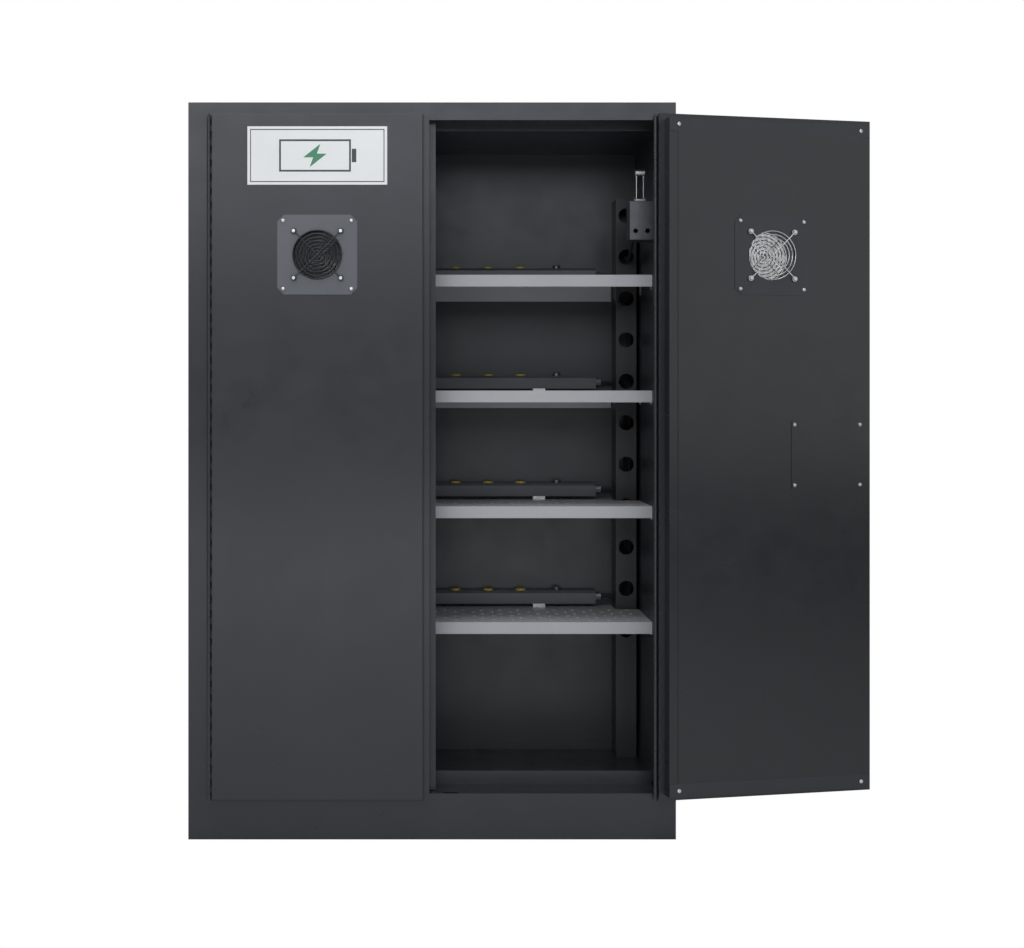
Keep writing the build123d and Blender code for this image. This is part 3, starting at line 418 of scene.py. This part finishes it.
def screen(side, x, y, name, slot):
    bm = bmesh.new()
    z, wire, pitch = vent["z"], screenWires["wire"], screenWires["pitch"]
    radius, behind = screenWires["radius"], y + screenWires["weave"]
    count = int(radius / pitch)
    for i in range(-count, count + 1):
        span = math.sqrt(max(radius**2 - (i * pitch) ** 2, 0.0))
        if span > pitch:
            rod(bm, (x + i * pitch, y, z - span), (x + i * pitch, y, z + span), wire, 5)
            rod(bm, (x - span, behind, z + i * pitch), (x + span, behind, z + i * pitch), wire, 5)
    return finishPiece(bm, name, doors[side]["body"], slot, matrix=doorMatrix(side))


def screwHead(bm, x, y, z, radius, height, outward):
    place = Matrix.Translation((x, y, z)) @ Matrix.Rotation(math.radians(90 if outward < 0 else -90), 4, "X")
    dome = [(1, 0), (0.97, 0.45), (0.75, 0.85), (0.3, 1), (0, 1)]
    lathe(bm, [(radius * across, height * up) for across, up in dome], place, 20)


def hexHead(bm, x, y, z, outward):
    top, crown = y + outward * hexagon["height"], outward * (hexagon["height"] + hexagon["crown"])
    verts = rod(bm, (x, y, z), (x, top, z), hexagon["radius"], 6)
    edges = list({e for v in verts for e in v.link_edges})
    bmesh.ops.bevel(
        bm, geom=edges, offset=hexagon["edge"], segments=1, profile=0.5, affect="EDGES", material=-1
    )
    rod(bm, (x, top, z), (x, y + crown, z), hexagon["radius"] * hexagon["crownShare"], 12)


signs = [(i, k) for i in (-1, 1) for k in (-1, 1)]
for side, door in doors.items():
    x, z = door["vent"], vent["z"]
    front = guard(side, x, vent["outerFace"] + vent["wire"], -1, side + "GuardFront", "hinge_paint")
    rear = guard(side, x, vent["innerFace"] - vent["wire"], 1, side + "GuardRear", "zinc")
    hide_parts(side + "_vent_guards")
    screen(side, x, screenWires["front"], side + "ScreenFront", "hinge_paint")
    screen(side, x, screenWires["rear"], side + "ScreenRear", "galvanised")
    bm = bmesh.new()
    for i, k in signs:
        spread = vent["plateBolts"] / 2
        head = (panHead["radius"], panHead["height"])
        screwHead(bm, x + i * spread, vent["outerPlate"], z + k * spread, *head, -1)
        screwHead(bm, x + i * spread, vent["innerPlate"], z + k * spread, *head, 1)
        spread = vent["bolts"] / 2
        hexHead(bm, x + i * spread, vent["outerFace"], z + k * spread, -1)
        hexHead(bm, x + i * spread, vent["innerFace"], z + k * spread, 1)
    boxMiddle = sum(door["box"]) / 2
    for sign in (-1, 1):
        for level in channelScrews["levels"]:
            screwX = boxMiddle + sign * channelScrews["spread"]
            screwHead(bm, screwX, vent["innerPlate"], level, panHead["radius"], panHead["low"], 1)
    if side == "right":
        for i, k in signs:
            place = (cover["x"] + i * cover["dx"], cover["y"], cover["z"] + k * cover["dz"])
            screwHead(bm, *place, cover["radius"], cover["height"], 1)
    replaced = [side + "_door_fasteners"]
    finishPiece(bm, side + "Bolts", door["body"], "zinc", replaced, matrix=doorMatrix(side))
print("vents done")


# Piano hinges: short rolled knuckles, alternately on the frame leaf and the door leaf
for side, door in doors.items():
    hand = -1 if side == "left" else 1
    x, y = hand * hinge["x"], hinge["y"]
    bottom, top, pitch = hinge["bottom"], hinge["top"], hinge["pitch"]
    frameLeaf = sorted(x + hand * offset for offset in hinge["frameLeaf"])
    doorLeaf = sorted(x - hand * offset for offset in hinge["doorLeaf"])
    for owner in ("frame", "door"):
        bm = bmesh.new()
        low, high = frameLeaf if owner == "frame" else doorLeaf
        rear = opening["front"] if owner == "frame" else door["rear"]
        for number in range(0 if owner == "frame" else 1, int((top - bottom) / pitch), 2):
            z = bottom + number * pitch
            rod(bm, (x, y, z + hinge["gap"] / 2), (x, y, z + pitch - hinge["gap"] / 2), hinge["radius"], 16)
            box(bm, (low, y, z + hinge["leafGap"]), (high, rear, z + pitch - hinge["leafGap"]))
        if owner == "frame":
            rod(bm, (x, y, bottom), (x, y, top), hinge["pin"], 12)
            box(bm, (low, hinge["frameStrap"], bottom), (high, opening["front"], top))
            low, high = sorted((x + hand * hinge["frameLeaf"][0], hand * opening["side"]))
            box(bm, (low, opening["front"], opening["bottom"]), (high, hinge["faceRear"], opening["top"]))
            low, high = sorted((hand * hinge["flange"], hand * opening["side"]))
            box(bm, (low, opening["front"], opening["bottom"]), (high, hinge["flangeRear"], opening["top"]))
            finishPiece(bm, side + "HingeFrame", "cabinet", "hinge_paint", ["hinge_frame_leaf_" + side])
        else:
            low, high = sorted(hand * place for place in hinge["panSide"])
            box(bm, (low, hinge["doorStrap"], bottom), (high, door["rear"], top))
            replaced = ["hinge_door_leaf_" + side]
            matrix = doorMatrix(side)
            finishPiece(bm, side + "HingeDoor", door["body"], "hinge_paint", replaced, matrix=matrix)
print("hinges done")


# Shelves: sheet with staggered round holes, a front lip with a small roll, and a rear lip
def holedCell(bm, cx, cy, hx, wide, deep, z):
    down = Vector((0, 0, shelf["sheet"]))
    sides, radius = shelf["holeSides"], shelf["hole"]
    inner, outer = [], []
    for k in range(sides):
        a = 2 * math.pi * k / sides
        across, along = math.cos(a), math.sin(a)
        scale = 1 / max(abs(across), abs(along))
        inner.append(bm.verts.new((hx + radius * across, cy + radius * along, z)))
        outer.append(bm.verts.new((cx + wide / 2 * across * scale, cy + deep / 2 * along * scale, z)))
    lowInner = [bm.verts.new(v.co - down) for v in inner]
    lowOuter = [bm.verts.new(v.co - down) for v in outer]
    for k in range(sides):
        n = (k + 1) % sides
        bm.faces.new((inner[k], outer[k], outer[n], inner[n]))
        bm.faces.new((inner[k], inner[n], lowInner[n], lowInner[k]))
        bm.faces.new((lowInner[k], lowInner[n], lowOuter[n], lowOuter[k]))


def perforated(bm, x0, x1, y0, y1, z):
    wide, deep = (x1 - x0) / shelf["columns"], (y1 - y0) / shelf["rows"]
    for row in range(shelf["rows"]):
        shift = shelf["shift"] * wide if row % 2 else -shelf["shift"] * wide
        for column in range(shelf["columns"]):
            cx, cy = x0 + wide * (column + 0.5), y0 + deep * (row + 0.5)
            holedCell(bm, cx, cy, cx + shift, wide, deep, z)


half, sheet, rim, roll = shelf["half"], shelf["sheet"], shelf["rim"], shelf["roll"]
front, back, (notchX, notchY) = shelf["front"], shelf["back"], shelf["notch"]
for number, top in enumerate(shelf["tops"], start=1):
    bm = bmesh.new()
    lipFoot, rollZ = top - shelf["lip"], top - shelf["lip"] + roll
    perforated(bm, -half + rim, half - rim, front + rim, notchY, top)
    box(bm, (-half, front, top - sheet), (half, front + rim, top))
    box(bm, (-half, front + rim, top - sheet), (-half + rim, notchY, top))
    box(bm, (half - rim, front + rim, top - sheet), (half, notchY, top))
    box(bm, (-half, notchY, top - sheet), (notchX, back, top))
    box(bm, (-half, front, lipFoot), (half, front + sheet, top - sheet))
    rod(bm, (-half, front + roll, rollZ), (half, front + roll, rollZ), roll, 10)
    box(bm, (-half, back - sheet, top - shelf["rearLip"]), (notchX, back, top - sheet))
    finishPiece(bm, f"shelf{number}", "cabinet", "shelf_paint", [f"shelf_{number}"], angle=30)
print("shelves done")


# Outlets: a round face with a raised rim and three slots, drawn as thin dark patches on the face that paint
# the shade in the holes, and domed reset buttons
outlet = {
    "profile": [
        (0.0129, 0), (0.0129, 0.0032), (0.0122, 0.004),
        (0.0112, 0.004), (0.0106, 0.0034), (0, 0.0034),
    ],
    "slots": [
        (-0.0032, 0.0022, 0.0013, 0.006), (0.0032, 0.0022, 0.0013, 0.005),
        (0, -0.0048, 0.0034, 0.0028),
    ],
    "slotFoot": 0.003,
    "slotTop": 0.0035,
}
button = {
    "profile": [(0, -0.0085), (0.0098, -0.0085), (0.0098, 0.006), (0.0092, 0.0078)],
    "dome": [(0.0075, 0.0088), (0.004, 0.009), (0, 0.009)],
}
bm = bmesh.new()
dark = bmesh.new()
for top in shelf["tops"]:
    z = top + strip["lift"] + strip["height"]
    for number in range(strip["count"]):
        x = strip["first"] - strip["pitch"] * number
        lathe(bm, outlet["profile"], Matrix.Translation((x, strip["y"], z)), 32)
        # Each slot is a thin dark box standing slightly proud of the face: painted shade, no hole is cut
        for dx, dy, wide, deep in outlet["slots"]:
            low = (x + dx - wide / 2, strip["y"] + dy - deep / 2, z + outlet["slotFoot"])
            box(dark, low, (low[0] + wide, low[1] + deep, z + outlet["slotTop"]))
finishPiece(bm, "outletFaces", "cabinet", "outlet_plastic", ["strip_outlets"])
finishPiece(dark, "outletSlotShade", "cabinet", "socket_dark", smooth=False)
for number, top in enumerate(shelf["tops"], start=1):
    z = top + strip["lift"] + strip["height"]
    bm = bmesh.new()
    lathe(bm, button["profile"] + button["dome"], Matrix.Translation((strip["button"], strip["y"], z)), 32)
    body = f"breaker_button_{number}"
    finishPiece(bm, f"resetButton{number}", body, "button_plastic", [body])
print("strips done")


# Generic plate on the left door: a battery sign with a bolt, no lettering
def flat(bm, corners, y, thick):
    front = [bm.verts.new((x, y, z)) for x, z in corners]
    rear = [bm.verts.new((x, y + thick, z)) for x, z in corners]
    bm.faces.new(front)
    bm.faces.new(list(reversed(rear)))
    for k in range(len(corners)):
        n = (k + 1) % len(corners)
        bm.faces.new((front[k], rear[k], rear[n], front[n]))


def flatBox(bm, low, high):
    flat(bm, [(low[0], low[1]), (high[0], low[1]), (high[0], high[1]), (low[0], high[1])], inkY, ink)


def outlined(bm, left, bottom, right, top, width):
    flatBox(bm, (left, bottom), (right, bottom + width))
    flatBox(bm, (left, top - width), (right, top))
    flatBox(bm, (left, bottom + width), (left + width, top - width))
    flatBox(bm, (right - width, bottom + width), (right, top - width))


x, z, halfWide, halfHigh = label["x"], label["z"], label["width"] / 2, label["height"] / 2
face, ink = label["front"] - label["thick"], label["ink"]
inkY = face - ink
bm = bmesh.new()
box(bm, (x - halfWide, face, z - halfHigh), (x + halfWide, label["front"], z + halfHigh))
finishPiece(bm, "labelPlate", "left_door", "label_white", smooth=False)
bm = bmesh.new()
wide, high = halfWide - label["margin"], halfHigh - label["margin"]
outlined(bm, x - wide, z - high, x + wide, z + high, label["border"])
low, high = label["cell"]
outlined(bm, x + low[0], z + low[1], x + high[0], z + high[1], label["cellLine"])
low, high = label["cellCap"]
flatBox(bm, (x + low[0], z + low[1]), (x + high[0], z + high[1]))
finishPiece(bm, "labelSign", "left_door", "label_ink", smooth=False)
bm = bmesh.new()
flat(bm, [(x + label["boltX"] + dx, z + dz) for dx, dz in label["bolt"]], inkY, ink)
finishPiece(bm, "labelBolt", "left_door", "label_green", smooth=False)
print("label done")

# Floor, lights, world and camera
bm = bmesh.new()
bmesh.ops.create_grid(bm, x_segments=1, y_segments=1, size=14)
mesh = bpy.data.meshes.new("floor")
bm.to_mesh(mesh)
bm.free()
floor = bpy.data.objects.new("floor", mesh)
scene.collection.objects.link(floor)
floorMaterial, graph = newMaterial("floor")
seen = graph.node("ShaderNodeLightPath", {}, output=0)
matte = graph.node("ShaderNodeBsdfDiffuse", {}, Color=(0.9, 0.9, 0.9, 1))
bright = graph.node("ShaderNodeEmission", {}, Color=(1, 1, 1, 1), Strength=1.0)
blend = graph.node("ShaderNodeMixShader", {}, seen, matte, bright)
graph.node("ShaderNodeOutputMaterial", {}, Surface=blend)
mesh.materials.append(floorMaterial)

world = bpy.data.worlds.new("studio")
scene.world = world
world.use_nodes = True
graph = Graph(world)
seen = graph.node("ShaderNodeLightPath", {}, output=0)
soft = graph.node("ShaderNodeBackground", {}, Color=(0.86, 0.92, 1, 1), Strength=0.2)
white = graph.node("ShaderNodeBackground", {}, Color=(1, 1, 1, 1), Strength=1.0)
both = graph.node("ShaderNodeMixShader", {}, seen, soft, white)
graph.node("ShaderNodeOutputWorld", {}, Surface=both)

lights = {
    "key": {
        "place": (-2.2, -3.2, 3.2), "aim": (0, 0, 0.9),
        "size": (2.2, 2.2), "power": 30, "colour": (1, 0.99, 0.97),
    },
    "fill": {
        "place": (3.0, -3.0, 1.8), "aim": (0, 0, 0.8),
        "size": (2.4, 2.4), "power": 14, "colour": (0.95, 0.97, 1),
    },
    "top": {
        "place": (0, -0.6, 3.6), "aim": (0, 0, 0.8),
        "size": (3.0, 2.0), "power": 60, "colour": (0.93, 0.96, 1),
    },
    "rear": {
        "place": (-0.4, -5.6, 2.7), "aim": (0, 0, 1.3),
        "size": (5.0, 1.5), "power": 62, "colour": (0.88, 0.93, 1),
    },
    "low": {
        "place": (0, -3.2, 0.35), "aim": (0, 0, 0.5),
        "size": (3.2, 0.5), "power": 8, "colour": (0.93, 0.96, 1),
    },
}
for name, light in lights.items():
    data = bpy.data.lights.new(name, "AREA")
    data.shape = "RECTANGLE"
    data.size, data.size_y = light["size"]
    data.energy = light["power"]
    data.color = light["colour"]
    lamp = bpy.data.objects.new(name, data)
    lamp.location = light["place"]
    lamp.rotation_euler = (Vector(light["aim"]) - Vector(light["place"])).to_track_quat("-Z", "Y").to_euler()
    scene.collection.objects.link(lamp)

eye = bpy.data.cameras.new("camera")
eye.lens = 54.95
eye.sensor_width = 36
eye.shift_x = 0.078
eye.shift_y = -0.0648
camera = bpy.data.objects.new("camera", eye)
camera.location = (0, -3.7285, 0.967)
camera.rotation_euler = (math.radians(90), 0, 0)
scene.collection.objects.link(camera)
scene.camera = camera
scene.view_settings.view_transform = "Standard"
print("stage done")
